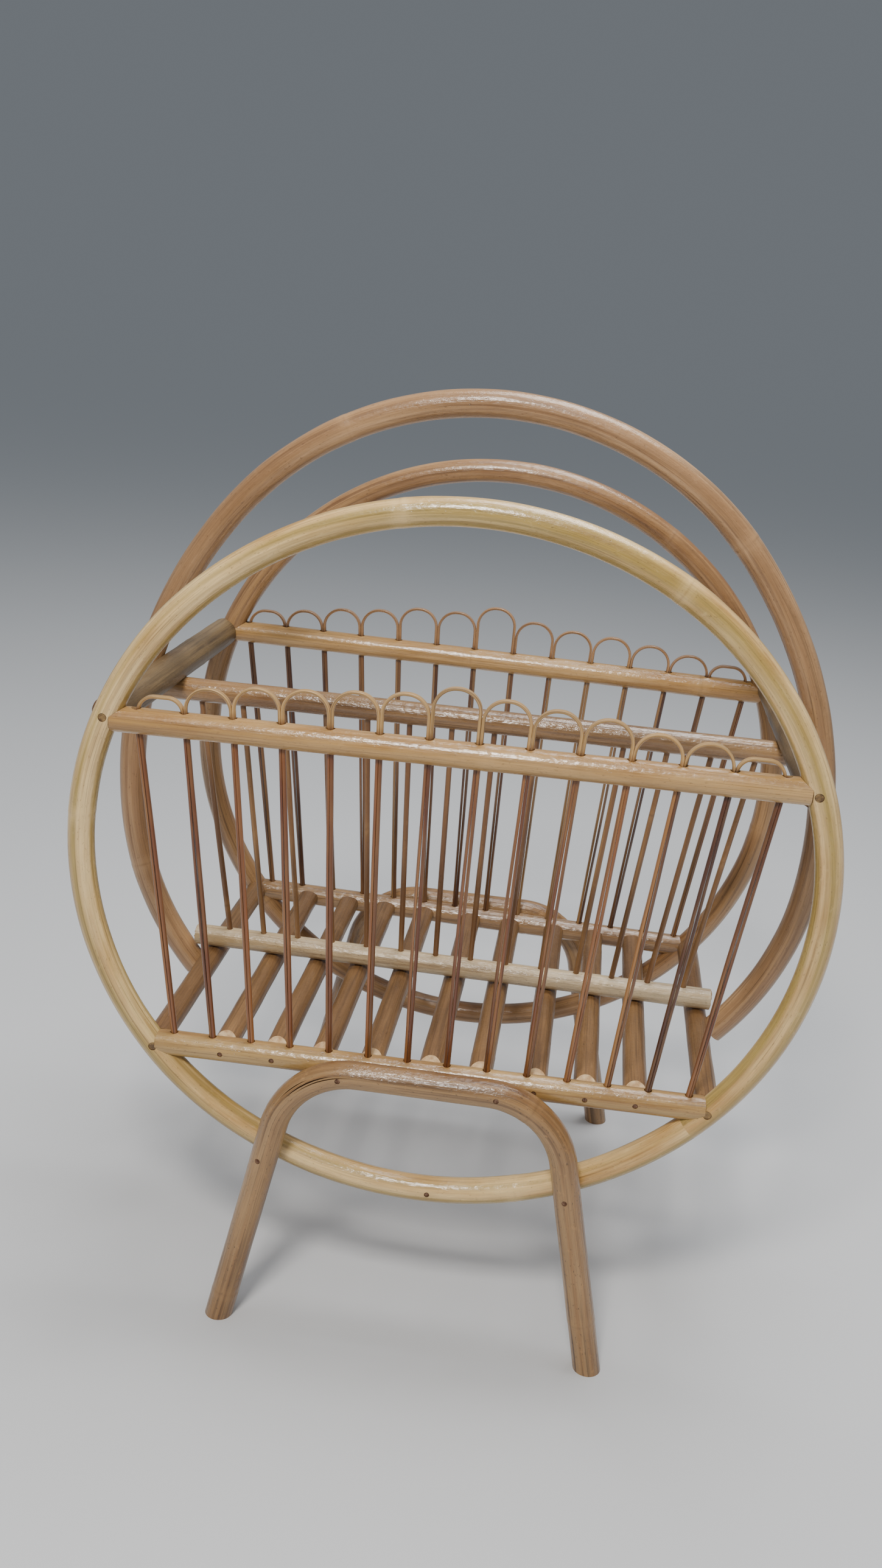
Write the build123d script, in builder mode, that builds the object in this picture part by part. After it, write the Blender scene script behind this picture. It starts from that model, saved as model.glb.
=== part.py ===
from build123d import *
import os
from math import atan2, cos, degrees, hypot, radians, sin

# A free-standing magazine rack of bent and straight cane poles.
# Millimetres.  X runs along the rails, Y from front to back, Z up.
# The origin is on the floor, under the middle of the rack.

os.makedirs("parts", exist_ok=True)

# ---------------------------------------------------------------- driving sizes
row_spacing = 118.0          # from the middle row to the front or rear row
fit_gap = 0.1                # left between a cut end and the pole it meets

hoop_radius = 7.6            # round section of the two hoops
# Each hoop is a slight oval of four arcs: two smaller ones at the ends of its
# long axis, centred end_shift out from the middle, and two larger ones,
# centred flat_shift across from it.  The long axis is turned up by the lean.
front_hoop = {
    "height": 287.6,
    "lean": 9.0,
    "end_radius": 192.0,
    "end_shift": 12.0,
    "flat_radius": 212.0,
    "flat_shift": 16.0,
}
rear_hoop = {
    "height": 286.2,
    "lean": -40.0,
    "end_radius": 197.0,
    "end_shift": 2.4,
    "flat_radius": 201.0,
    "flat_shift": 3.2,
}

arch_radius = 8.4            # round section of the tall middle arch
arch_crown = 532.0           # height of its centreline at the crown
arch_arcs = ((199, 50), (268, 47), (184, 34))  # radius and turn, crown to end

rail_radius = 7.3
slat_radius = 7.0
low_middle_rail_radius = 6.75
cross_bar_radius = 9.5
cross_bar_out = 189.5        # from the middle plane
cross_bar_height = 358.0

# the rails' ends before they are cut to fit the hoops, from the middle
top_rail_reach = 186.0
bottom_rail_reach = 157.5

# heights of the rails' centrelines 150 mm left and right of the middle
tilt_span = 300.0
front_top = (356.5, 358.5)
front_bottom = (164.6, 168.0)
rear_top = (358.8, 354.4)
rear_bottom = (167.0, 162.4)
middle_top = (345.2, 345.2)

rod_count = 14
top_hole_reach = 172.0       # outermost holes in the top rails
low_hole_reach = 147.0       # outermost holes in the bottom rails
strip_radius = 2.0           # two half-round strips together make one stick
top_hole_radius = 2.7
low_hole_radius = 2.3
low_hole_depth = 6.0
rod_radius = 1.75            # round rods of the middle row
rod_hole_radius = 1.85
rod_depth = 9.0
filler_sunk = 1.0            # the end fillers stop this far below the top rail's surface
end_room = 0.5               # left beyond a strip's or rod's end in its hole
drill_over = 20.0            # how far a drill runs outside its rail
front_loop_heights = (8, 15, 18, 19.5, 21.5, 23.5, 29, 25, 22.5, 20.5, 15.5, 13.5, 8)
rear_loop_heights = (10, 13, 17, 19.5, 23.5, 24, 30, 23, 20, 19, 16.5, 13, 9)

slat_spacing = 29.7          # between the nine slats under the two rows
slat_shifts = (0, 0.5, -2, -3, 1.5, 0.5, 2.5, 1.5, 0)  # set by eye, by hand
end_slat_out = 158.6
slat_bevel = 40.0            # the tops of slats 2 to 10 are pared down at the ends
slat_bevel_y = 109.0         # where the bevel starts, from the middle

leg_radius = 8.2
leg_foot_out = 110.5         # foot to the middle plane
leg_foot_forward = 138.4     # foot to the middle row
leg_height = 168.5           # centreline of the level stretch
leg_lean = 11.8              # each leg leans in towards the top
leg_bend = 47.0              # radius of the two bends
leg_touch = row_spacing + rail_radius + leg_radius  # its middle where it meets the rail

nail_radius = 0.8
nail_head_radius = 1.4
nail_sunk = 0.8
head_thickness = 1.0
hole_room = 2.0              # a fastener's hole starts this far outside its pole
slat_nail_length = 30.0
leg_nail_length = 24.0
leg_nail_spots = ((-47, 167.5), (42, 168.5), (-90, 110), (86, 111))  # X and height
scarf_nail_length = 9.0
scarf_nail_front = (7.0, 92.0)    # X and height of the nail through a hoop's joint
scarf_nail_rear = (-12.0, 87.5)
# nails through the arch: how far out its skin is there, and their length
slat_arch_nail = (185.4, 22.0)
bar_arch_nail = (213.8, 26.0)
rail_arch_nail = (217.4, 30.0)
bar_arch_nail_up = 3.0       # above the middle of the cross bar
screw_radius = 1.4
screw_head_radius = 2.1
screw_length = 34.0
plug_radius = 2.25
plug_depth = 3.0
plug_sunk = 0.6

front_y = -row_spacing
rear_y = row_spacing


# ---------------------------------------------------------------- helpers
def save(piece, node):
    """Label a finished piece and write its STEP file."""
    piece.part.label = node
    export_step(piece.part, f"parts/{node}.step")


def height_at(rail, x):
    """Height of a slightly tilted rail's centreline at x."""
    left, right = rail
    return (left + right) / 2 + (right - left) * x / tilt_span


def pole(start, end, radius):
    """A straight round pole, used on its own or as a cutting tool."""
    run = Vector(*end) - Vector(*start)
    with BuildPart() as straight:
        with BuildSketch(Plane(origin=start, z_dir=run)):
            Circle(radius)
        extrude(amount=run.length)
    return straight.part


def rail_pole(rail, y, reach, radius):
    """A pole along a rail's centreline, reaching the same way left and right."""
    start = (-reach, y, height_at(rail, -reach))
    end = (reach, y, height_at(rail, reach))
    return pole(start, end, radius)


def tube(path, radius):
    """A round pole bent along a path."""
    wire = path.wires()[0]
    with BuildPart() as bent:
        with BuildSketch(Plane(origin=wire @ 0, z_dir=wire % 0)):
            Circle(radius)
        sweep(path=wire)
    return bent.part


def upright_plane(y, height, lean=0.0):
    """A plane facing the front, its own X turned up from level by lean."""
    along = (cos(radians(lean)), 0, sin(radians(lean)))
    return Plane(origin=(0, y, height), x_dir=along, z_dir=(0, -1, 0))


def hoop_path(hoop, y):
    """A hoop's centreline: four arcs, tangent where they meet."""
    out, across = hoop["end_shift"], hoop["flat_shift"]
    turn = degrees(atan2(across, out))
    with BuildLine(upright_plane(y, hoop["height"], hoop["lean"])) as oval:
        CenterArc((out, 0), hoop["end_radius"], -turn, 2 * turn)
        CenterArc((0, -across), hoop["flat_radius"], turn, 180 - 2 * turn)
        CenterArc((-out, 0), hoop["end_radius"], 180 - turn, 2 * turn)
        CenterArc((0, across), hoop["flat_radius"], 180 + turn, 180 - 2 * turn)
    return oval


def arch_path():
    """The middle arch's centreline, from the crown down each side."""
    with BuildLine(upright_plane(0, 0)) as arch:
        place, heading = (0, arch_crown), (1, 0)
        for radius, turn in arch_arcs:
            arc = JernArc(start=place, tangent=heading, radius=radius, arc_size=-turn)
            place, heading = arc @ 1, arc % 1
            place, heading = (place.X, place.Z), (heading.X, heading.Z)
        mirror(about=Plane.YZ)
    return arch


def leg_plane(side):
    """The plane of a leg: side -1 in front, 1 behind, splayed at the foot."""
    splay = leg_foot_forward - leg_touch
    rise = hypot(leg_height, splay)
    up = (0, -side * splay / rise, leg_height / rise)
    facing = Vector(1, 0, 0).cross(Vector(*up))
    return Plane(origin=(0, side * leg_foot_forward, 0), x_dir=(1, 0, 0), z_dir=facing)


def leg_path(side):
    """A leg's centreline: up, over and down, starting below the floor."""
    below = 12.0
    slope = sin(radians(leg_lean)) / cos(radians(leg_lean))
    foot = leg_foot_out + below * slope
    shoulder = leg_foot_out - leg_height * slope
    with BuildLine(leg_plane(side)) as leg:
        FilletPolyline(
            (-foot, -below),
            (-shoulder, leg_height),
            (shoulder, leg_height),
            (foot, -below),
            radius=leg_bend,
        )
    return leg


def hole_line(row, i):
    """The line of stick i of a row: its low and its high point."""
    y, bottom, top = row
    share = 2 * i / (rod_count - 1) - 1
    low_x = low_hole_reach * share
    high_x = top_hole_reach * share
    low = Vector(low_x, y, height_at(bottom, low_x))
    high = Vector(high_x, y, height_at(top, high_x))
    return low, high


front_row = (front_y, front_bottom, front_top)
rear_row = (rear_y, rear_bottom, rear_top)
low_middle_height = (
    (sum(front_bottom) + sum(rear_bottom)) / 4 + slat_radius + low_middle_rail_radius + fit_gap
)
middle_bottom = (low_middle_height + 0.3, low_middle_height - 0.3)
middle_row = (0, middle_bottom, middle_top)

# ---------------------------------------------------------------- cutting tools
hoop_spaces = {
    front_y: tube(hoop_path(front_hoop, front_y), hoop_radius + fit_gap),
    rear_y: tube(hoop_path(rear_hoop, rear_y), hoop_radius + fit_gap),
}
arch_space = tube(arch_path(), arch_radius + fit_gap)
bottom_rail_spaces = {
    front_y: rail_pole(front_bottom, front_y, bottom_rail_reach, rail_radius + fit_gap),
    rear_y: rail_pole(rear_bottom, rear_y, bottom_rail_reach, rail_radius + fit_gap),
}
top_rail_spaces = {
    front_y: rail_pole(front_top, front_y, top_rail_reach, rail_radius + fit_gap),
    rear_y: rail_pole(rear_top, rear_y, top_rail_reach, rail_radius + fit_gap),
}


def slat_x(number):
    """Place of slat 1 to 11 along the rails."""
    if number == 1:
        return -end_slat_out
    if number == 11:
        return end_slat_out
    return slat_spacing * (number - 6) + slat_shifts[number - 2]


def slat_height(x, y):
    """Height of a slat's centreline, level with the rails it joins."""
    front = height_at(front_bottom, x)
    rear = height_at(rear_bottom, x)
    return front + (rear - front) * (y + row_spacing) / (2 * row_spacing)


def bar_pole(side, radius):
    """A cross bar's pole, between the two hoops."""
    start = (side * cross_bar_out, front_y + 3, cross_bar_height)
    end = (side * cross_bar_out, rear_y - 3, cross_bar_height)
    return pole(start, end, radius)


def slat_pole(number, radius):
    """A slat's pole, from one bottom rail or hoop to the other."""
    x = slat_x(number)
    reach = row_spacing - 3
    return pole((x, -reach, slat_height(x, -reach)), (x, reach, slat_height(x, reach)), radius)


bar_spaces = [bar_pole(side, cross_bar_radius + fit_gap) for side in (-1, 1)]
end_slat_spaces = [slat_pole(number, slat_radius + fit_gap) for number in (1, 11)]


# ---------------------------------------------------------------- fasteners
def fastener(point, direction, length, shank, head, sunk, cap=0.0):
    """A nail or screw driven in at a point, and the hole that it needs."""
    into = Vector(*direction).normalized()
    mouth = Vector(*point) - into * hole_room
    seat = Vector(*point) + into * sunk
    tip = seat + into * length
    head_end = seat + into * head_thickness
    with BuildPart() as driven:
        with BuildSketch(Plane(origin=seat, z_dir=into)):
            Circle(head)
        extrude(amount=head_thickness)
        with BuildSketch(Plane(origin=seat, z_dir=into)):
            Circle(shank)
        extrude(amount=length)
    hole_width = max(head, cap) + 0.1
    with BuildPart() as hole:
        with BuildSketch(Plane(origin=mouth, z_dir=into)):
            Circle(hole_width)
        extrude(amount=(head_end - mouth).length)
        with BuildSketch(Plane(origin=seat, z_dir=into)):
            Circle(shank + 0.05)
        extrude(amount=(tip - seat).length + 0.5)
    return driven.part, hole.part


def nail(point, direction, length):
    return fastener(point, direction, length, nail_radius, nail_head_radius, nail_sunk)


def screw(point, direction, length):
    sunk = plug_depth + plug_sunk
    return fastener(point, direction, length, screw_radius, screw_head_radius, sunk, plug_radius)


def hoop_skin(side):
    """Y of the outer skin of a hoop or a bottom rail."""
    return side * (row_spacing + hoop_radius)


slat_nails = {}
for side in (-1, 1):
    for number in range(2, 11):
        x = slat_x(number)
        skin = side * (row_spacing + rail_radius)
        height = slat_height(x, side * row_spacing)
        slat_nails[side, number] = nail((x, skin, height), (0, -side, 0), slat_nail_length)

ring_screws = {}
for side in (-1, 1):
    for hand in (-1, 1):
        top_point = (hand * cross_bar_out, hoop_skin(side), cross_bar_height)
        ring_screws[side, hand, "top"] = screw(top_point, (0, -side, 0), screw_length)
        x = hand * end_slat_out
        low_point = (x, hoop_skin(side), slat_height(x, side * row_spacing))
        ring_screws[side, hand, "low"] = screw(low_point, (0, -side, 0), screw_length)

leg_nails = {}
for side in (-1, 1):
    for spot, (x, z) in enumerate(leg_nail_spots):
        splay = (leg_height - z) / leg_height * (leg_foot_forward - leg_touch)
        skin = side * (leg_touch + splay + leg_radius)
        leg_nails[side, spot] = nail((x, skin, z), (0, -side, 0), leg_nail_length)

arch_nails = {}
for hand in (-1, 1):
    for target, height, (out, length) in (
        ("slat", slat_height(0, 0), slat_arch_nail),
        ("bar", cross_bar_height + bar_arch_nail_up, bar_arch_nail),
        ("rail", middle_top[0], rail_arch_nail),
    ):
        arch_nails[hand, target] = nail((hand * out, 0, height), (-hand, 0, 0), length)

scarf_nails = {}
for side, (x, z) in ((-1, scarf_nail_front), (1, scarf_nail_rear)):
    scarf_nails[side] = nail((x, hoop_skin(side), z), (0, -side, 0), scarf_nail_length)


def save_group(node, made, place):
    """Write a set of like fasteners as one node of separate solids."""
    group = Compound(label=node, children=[item[place] for item in made.values()])
    export_step(group, f"parts/{node}.step")


save_group("slat_nails", slat_nails, 0)
save_group("hoop_screws", ring_screws, 0)
save_group("leg_nails", leg_nails, 0)
save_group("arch_nails", arch_nails, 0)
save_group("scarf_nails", scarf_nails, 0)

# ---------------------------------------------------------------- hoops and arch
hoop_holes = {}
for side in (-1, 1):
    hoop_holes[side] = [item[1] for key, item in ring_screws.items() if key[0] == side]
    hoop_holes[side] += [item[1] for key, item in leg_nails.items() if key[0] == side]
    hoop_holes[side] += [scarf_nails[side][1]]

for node, shape, y, side in (
    ("front_hoop", front_hoop, front_y, -1),
    ("rear_hoop", rear_hoop, rear_y, 1),
):
    wire = hoop_path(shape, y).wires()[0]
    with BuildPart() as hoop:
        with BuildSketch(Plane(origin=wire @ 0, z_dir=wire % 0)):
            Circle(hoop_radius)
        sweep(path=wire)
        for hole in hoop_holes[side]:
            add(hole, mode=Mode.SUBTRACT)
    save(hoop, node)

arch_wire = arch_path().wires()[0]
with BuildPart() as middle_arch:
    with BuildSketch(Plane(origin=arch_wire @ 0, z_dir=arch_wire % 0)):
        Circle(arch_radius)
    sweep(path=arch_wire)
    for space in end_slat_spaces:
        add(space, mode=Mode.SUBTRACT)
    for item in arch_nails.values():
        add(item[1], mode=Mode.SUBTRACT)
save(middle_arch, "middle_arch")


# ---------------------------------------------------------------- rails
def hole_cutter(line, radius, depth=None):
    """A drilled hole along a stick's line: right through, or from above to a depth."""
    low, high = line
    upward = (high - low).normalized()
    if depth is None:
        return pole(high - upward * drill_over, high + upward * drill_over, radius)
    return pole(low + upward * (rail_radius - depth), low + upward * drill_over, radius)


def build_rail(node, centre, y, reach, radius, cutters):
    """A straight rail with its ends and holes cut."""
    start = Vector(-reach[0], y, height_at(centre, -reach[0]))
    end = Vector(reach[1], y, height_at(centre, reach[1]))
    with BuildPart() as rail:
        with BuildSketch(Plane(origin=start, z_dir=end - start)):
            Circle(radius)
        extrude(amount=(end - start).length)
        for cutter in cutters:
            add(cutter, mode=Mode.SUBTRACT)
    save(rail, node)


for name, row, side in (("front", front_row, -1), ("rear", rear_row, 1)):
    y, bottom, top = row
    lines = [hole_line(row, i) for i in range(rod_count)]
    top_holes = [hole_cutter(line, top_hole_radius) for line in lines]
    low_holes = [hole_cutter(line, low_hole_radius, low_hole_depth) for line in lines]
    hoop_cut = [hoop_spaces[y]] + [item[1] for key, item in ring_screws.items() if key[0] == side]
    top_reach = (top_rail_reach, top_rail_reach)
    low_reach = (bottom_rail_reach, bottom_rail_reach)
    slat_holes = [item[1] for key, item in slat_nails.items() if key[0] == side]
    leg_holes = [leg_nails[side, spot][1] for spot in (0, 1)]
    build_rail(f"{name}_top_rail", top, y, top_reach, rail_radius, hoop_cut + top_holes)
    low_cutters = hoop_cut + low_holes + slat_holes + leg_holes
    build_rail(f"{name}_bottom_rail", bottom, y, low_reach, rail_radius, low_cutters)

middle_lines = [hole_line(middle_row, i) for i in range(rod_count)]
upper_rod_holes = []
lower_rod_holes = []
for low, high in middle_lines:
    upward = (high - low).normalized()
    highest = high + upward * (rod_depth - rail_radius + end_room)
    upper_rod_holes.append(pole(high - upward * drill_over, highest, rod_hole_radius))
    lowest = low + upward * (low_middle_rail_radius - rod_depth - end_room)
    lower_rod_holes.append(pole(lowest, low + upward * drill_over, rod_hole_radius))

rail_cutters = [arch_space] + bar_spaces + upper_rod_holes
rail_cutters += [arch_nails[hand, "rail"][1] for hand in (-1, 1)]
build_rail("middle_top_rail", middle_top, 0, (207, 207), rail_radius, rail_cutters)
build_rail(
    "middle_bottom_rail", middle_bottom, 0, (170, 166), low_middle_rail_radius, lower_rod_holes
)

# ---------------------------------------------------------------- cross bars
for name, hand in (("left", -1), ("right", 1)):
    start = Vector(hand * cross_bar_out, front_y + 3, cross_bar_height)
    end = Vector(hand * cross_bar_out, rear_y - 3, cross_bar_height)
    with BuildPart() as cross_bar:
        with BuildSketch(Plane(origin=start, z_dir=end - start)):
            Circle(cross_bar_radius)
        extrude(amount=(end - start).length)
        for side, y in ((-1, front_y), (1, rear_y)):
            add(hoop_spaces[y], mode=Mode.SUBTRACT)
            add(top_rail_spaces[y], mode=Mode.SUBTRACT)
            add(ring_screws[side, hand, "top"][1], mode=Mode.SUBTRACT)
        add(arch_space, mode=Mode.SUBTRACT)
        add(arch_nails[hand, "bar"][1], mode=Mode.SUBTRACT)
    save(cross_bar, f"{name}_cross_bar")

# ---------------------------------------------------------------- slats
for number in range(1, 12):
    x = slat_x(number)
    reach = row_spacing - 3
    start = Vector(x, -reach, slat_height(x, -reach))
    end = Vector(x, reach, slat_height(x, reach))
    hand = {1: -1, 11: 1}.get(number)
    with BuildPart() as slat:
        with BuildSketch(Plane(origin=start, z_dir=end - start)):
            Circle(slat_radius)
        extrude(amount=(end - start).length)
        for side, y in ((-1, front_y), (1, rear_y)):
            add(bottom_rail_spaces[y], mode=Mode.SUBTRACT)
            if hand:
                add(hoop_spaces[y], mode=Mode.SUBTRACT)
                add(ring_screws[side, hand, "low"][1], mode=Mode.SUBTRACT)
            else:
                add(slat_nails[side, number][1], mode=Mode.SUBTRACT)
            if not hand:
                bevel_start = (x, side * slat_bevel_y, slat_height(x, side * slat_bevel_y) + slat_radius)
                bevel = (0, side * sin(radians(slat_bevel)), cos(radians(slat_bevel)))
                split(bisect_by=Plane(origin=bevel_start, z_dir=bevel), keep=Keep.BOTTOM)
        if hand:
            add(arch_nails[hand, "slat"][1], mode=Mode.SUBTRACT)
    save(slat, f"slat_{number:02d}")

# ---------------------------------------------------------------- legs
for name, side in (("front", -1), ("rear", 1)):
    wire = leg_path(side).wires()[0]
    with BuildPart() as leg:
        with BuildSketch(Plane(origin=wire @ 0, z_dir=wire % 0)):
            Circle(leg_radius)
        sweep(path=wire)
        split(bisect_by=Plane.XY, keep=Keep.TOP)
        for spot in range(len(leg_nail_spots)):
            add(leg_nails[side, spot][1], mode=Mode.SUBTRACT)
    save(leg, f"{name}_leg")


# ---------------------------------------------------------------- looped strips
def build_strip(node, row, i, rise):
    """Strip i of a row: up from one hole, over in a loop, down into the next."""
    left_low, left_high = hole_line(row, i)
    right_low, right_high = hole_line(row, i + 1)
    left_up = (left_high - left_low).normalized()
    right_up = (right_high - right_low).normalized()
    crown = rail_radius + rise
    left_end = left_low + left_up * (rail_radius - low_hole_depth + end_room)
    right_end = right_low + right_up * (rail_radius - low_hole_depth + end_room)
    left_corner = left_high + left_up * crown
    right_corner = right_high + right_up * crown
    half_width = (right_corner - left_corner).length / 2
    bend = min(0.95 * half_width, rise + 1.5)
    with BuildPart() as strip:
        with BuildLine() as path:
            FilletPolyline(left_end, left_corner, right_corner, right_end, radius=bend)
        across = Plane(origin=left_end, x_dir=(0, 1, 0), z_dir=left_up)
        with BuildSketch(across):
            with Locations((0, 0)):
                Circle(strip_radius)
            with Locations((0, strip_radius - 0.05)):
                Rectangle(3 * strip_radius, 2 * strip_radius, mode=Mode.SUBTRACT)
        sweep(path=path.wires()[0])
    save(strip, node)


for name, row, rises in (
    ("front", front_row, front_loop_heights),
    ("rear", rear_row, rear_loop_heights),
):
    for i, rise in enumerate(rises):
        build_strip(f"{name}_strip_{i + 1:02d}", row, i, rise)

# ---------------------------------------------------------------- end fillers
def end_fillers(node, row, last):
    """Straight half strips that fill out the first and the last hole of a row."""
    fillers = []
    for i, turn in ((0, -1), (last, 1)):
        low, high = hole_line(row, i)
        upward = (high - low).normalized()
        foot = low + upward * (rail_radius - low_hole_depth + end_room)
        head = high + upward * (rail_radius - filler_sunk)
        with BuildPart() as filler:
            with BuildSketch(Plane(origin=foot, x_dir=(0, 1, 0), z_dir=upward)):
                Circle(strip_radius)
                with Locations((0, turn * (strip_radius - 0.05))):
                    Rectangle(3 * strip_radius, 2 * strip_radius, mode=Mode.SUBTRACT)
            extrude(amount=(head - foot).length)
        fillers.append(filler.part)
    export_step(Compound(label=node, children=fillers), f"parts/{node}.step")


end_fillers("front_end_fillers", front_row, len(front_loop_heights))
end_fillers("rear_end_fillers", rear_row, len(rear_loop_heights))

# ---------------------------------------------------------------- middle rods
rods = []
for low, high in middle_lines:
    upward = (high - low).normalized()
    foot = low + upward * (low_middle_rail_radius - rod_depth)
    head = high + upward * (rod_depth - rail_radius)
    rods.append(pole(foot, head, rod_radius))
export_step(Compound(label="middle_rods", children=rods), "parts/middle_rods.step")

# ---------------------------------------------------------------- plugs
plugs = []
for side, hand, place in ring_screws:
    if place == "top":
        x, z = hand * cross_bar_out, cross_bar_height
    else:
        x = hand * end_slat_out
        z = slat_height(x, side * row_spacing)
    skin = hoop_skin(side) - side * plug_sunk
    plugs.append(pole((x, skin, z), (x, skin - side * (plug_depth - 0.2), z), plug_radius))
export_step(Compound(label="hoop_plugs", children=plugs), "parts/hoop_plugs.step")
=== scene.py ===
import bmesh
import bpy
import functools
import math
import random

import numpy as np
from mathutils import Matrix, Vector


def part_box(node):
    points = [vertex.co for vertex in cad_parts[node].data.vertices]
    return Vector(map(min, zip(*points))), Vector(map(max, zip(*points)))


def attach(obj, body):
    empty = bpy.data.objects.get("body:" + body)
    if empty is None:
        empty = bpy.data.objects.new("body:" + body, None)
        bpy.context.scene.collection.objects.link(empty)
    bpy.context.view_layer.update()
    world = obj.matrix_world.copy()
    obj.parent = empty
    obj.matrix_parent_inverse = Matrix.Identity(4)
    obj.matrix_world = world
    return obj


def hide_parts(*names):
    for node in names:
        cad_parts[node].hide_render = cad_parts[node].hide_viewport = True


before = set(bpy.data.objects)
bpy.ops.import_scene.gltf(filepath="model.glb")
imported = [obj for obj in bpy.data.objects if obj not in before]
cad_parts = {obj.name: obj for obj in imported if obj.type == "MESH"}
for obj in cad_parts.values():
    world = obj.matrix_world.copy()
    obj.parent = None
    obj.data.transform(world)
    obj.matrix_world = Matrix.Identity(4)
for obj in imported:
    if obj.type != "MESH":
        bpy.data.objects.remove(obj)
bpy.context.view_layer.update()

# The looks of a cane magazine rack.  Metres, in the frame of the CAD part.
# Every pole is built again as a cane: a tube along the same centreline, a little
# out of round, with the node rings that cane has.  Two UV maps carry each
# point's place in the straightened pole, so that the grain follows the bends:
# "along" is (distance, nearness to a node ring) and "round" is (sideways, upward)
# from the centreline.  On the strips, the second value of "along" is 1 in a loop.

MM = 0.001

# ---- driving sizes
ROW_SPACING = 118 * MM  # from the middle row to the front or rear row

# each hoop: the turn of its long axis, then radius and centre shift of the
# arcs at the ends of the long axis, and of the flatter arcs between them
FRONT_HOOP = (9.0, 192 * MM, 12 * MM, 212 * MM, 16 * MM)
REAR_HOOP = (-40.0, 197 * MM, 2.4 * MM, 201 * MM, 3.2 * MM)
ARCH_ARCS = ((199 * MM, 50), (268 * MM, 47), (184 * MM, 34))  # from the crown down
LEG_RADIUS = 8.2 * MM
LEG_FOOT_OUT = 110.5 * MM
LEG_FOOT_FORWARD = 138.4 * MM
LEG_HEIGHT = 168.5 * MM
LEG_LEAN = 11.8
LEG_BEND = 47 * MM
TILT_SPAN = 300 * MM
RAIL_RISE = {  # from 150 mm left of the middle to 150 mm right
    "front_top_rail": 2.0 * MM,
    "front_bottom_rail": 3.4 * MM,
    "rear_top_rail": -4.4 * MM,
    "rear_bottom_rail": -4.6 * MM,
    "middle_top_rail": 0.0,
    "middle_bottom_rail": -0.6 * MM,
}
ROD_COUNT = 14
TOP_HOLE_REACH = 172 * MM
LOW_HOLE_REACH = 147 * MM
TOP_HOLE = 2.7 * MM
LOW_HOLE = 2.3 * MM
LOW_HOLE_DEPTH = 6 * MM
END_ROOM = 0.5 * MM
FILLER_SUNK = 1.0 * MM
STRIP_RADIUS = 2.0 * MM
STRIP_BOW = 0.6 * MM  # the most that a strip's leg bows or sways
ROD_RADIUS = 1.75 * MM
ROD_HOLE = 1.95 * MM
ROD_DEPTH = 9 * MM  # how far the rods go into the middle rails
TOP_REACH = 186 * MM  # half the length of the front and rear top rails, uncut
LOW_REACH = 157.5 * MM  # the same for the bottom rails
MIDDLE_TOP_REACH = 207 * MM
MIDDLE_LOW_ENDS = (-169.6 * MM, 165.6 * MM)
CROSS_REACH = ROW_SPACING - 3 * MM  # half the length of the slats and cross bars
DRILL_OVER = 20 * MM  # how far a drill runs past a pole's centreline
BEVEL = 46.0  # the slope of the cut at a slat's ends, in degrees
BEVEL_Y = 107.9 * MM  # where that cut starts
NAIL_MOUTH = 1.55 * MM  # radius of the pit around a nail's head
NAIL_SHANK = 0.9 * MM
NAIL_SUNK = 0.9 * MM
PLUG_HOLE = 2.4 * MM  # radius of the hole around a plug
PLUG_DEPTH = 3.7 * MM
SCREW_SHANK = 1.5 * MM
OUTSIDE = 3 * MM  # how far a cutter starts outside a pole's skin
CUT_GAP = 0.12 * MM  # between a cut end and the pole it meets
CORE_ROOM = 0.5 * MM  # left beyond a rod's end

RING_STEP = 1.6 * MM  # between the rings of a cane's mesh
SIDES = 44  # of a cane's mesh
SHARP = math.radians(38)  # edges sharper than this are shaded as edges
ACROSS, DEPTH, UP = (1, 0, 0), (0, 1, 0), (0, 0, 1)
ROWS = (("front", -1), ("rear", 1))
END_SLATS = ("slat_01", "slat_11")


# ---- paths
def turtle(start, heading, moves):
    """Points of a flat path.  A move is (length,) or (radius, turn to the left)."""
    here, angle = np.array(start, float), math.radians(heading)
    points = [here.copy()]
    for move in moves:
        if len(move) == 1:
            count = max(1, round(move[0] / RING_STEP))
            for _ in range(count):
                here = here + move[0] / count * np.array((math.cos(angle), math.sin(angle)))
                points.append(here.copy())
            continue
        radius, turn = move[0], math.radians(move[1])
        count = max(4, round(radius * abs(turn) / RING_STEP))
        side = math.copysign(1, turn)
        centre = here + side * radius * np.array((-math.sin(angle), math.cos(angle)))
        for _ in range(count):
            angle += turn / count
            here = centre + side * radius * np.array((math.sin(angle), -math.cos(angle)))
            points.append(here.copy())
    return np.array(points)


def lift(flat, origin, across, up):
    """Flat points placed in space, by an origin and two unit directions."""
    origin, across, up = (np.array(v, float) for v in (origin, across, up))
    return origin + flat[:, :1] * across + flat[:, 1:] * up


@functools.lru_cache(maxsize=None)
def box(node):
    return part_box(node)


def middle(node):
    low, high = box(node)
    return (low + high) / 2


def half_size(node):
    low, high = box(node)
    return (high - low) / 2


def hoop_points(node, shape):
    """A hoop's centreline, once round from the low end of its long axis."""
    lean, end_radius, end_shift, flat_radius, flat_shift = shape
    turn = math.degrees(math.atan2(flat_shift, end_shift))
    corner = math.radians(turn)
    start = (end_shift + end_radius * math.cos(corner), -end_radius * math.sin(corner))
    moves = [(end_radius, 2 * turn), (flat_radius, 180 - 2 * turn)] * 2
    flat = turtle(start, 90 - turn, moves)[:-1]
    lean = math.radians(lean)
    c, s = math.cos(lean), math.sin(lean)
    return lift(flat, middle(node), (c, 0, s), (-s, 0, c))


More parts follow.
